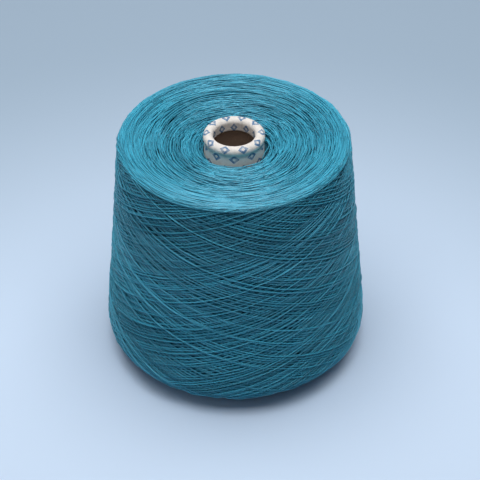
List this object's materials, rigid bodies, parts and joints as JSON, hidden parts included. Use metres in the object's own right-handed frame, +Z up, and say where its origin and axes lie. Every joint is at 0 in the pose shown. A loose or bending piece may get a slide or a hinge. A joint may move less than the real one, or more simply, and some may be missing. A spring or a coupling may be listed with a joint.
{
  "type": "yarn cone",
  "caption": "Cone of crosswound teal knitting yarn on a tapered kraft paper cone with a printed ply and a turned-in nose.",
  "frame": {"origin": "centre of the paper cone's base ring, on the surface that the cone stands on", "axes": "+Z up the cone's axis, from the wide base to the turned-in nose; X and Y are free, and the base notch lies at 118 degrees from +X towards +Y"},
  "size_m": [0.1808, 0.1808, 0.17],
  "materials": {
    "kraft_board": "matte",
    "printed_paper": "matte",
    "teal_yarn": "matte"
  },
  "bodies": {
    "root": {"kraft_core": "kraft_board", "printed_cover": "printed_paper", "yarn_package": "teal_yarn", "transfer_tail": "teal_yarn"}
  },
  "joints": []
}
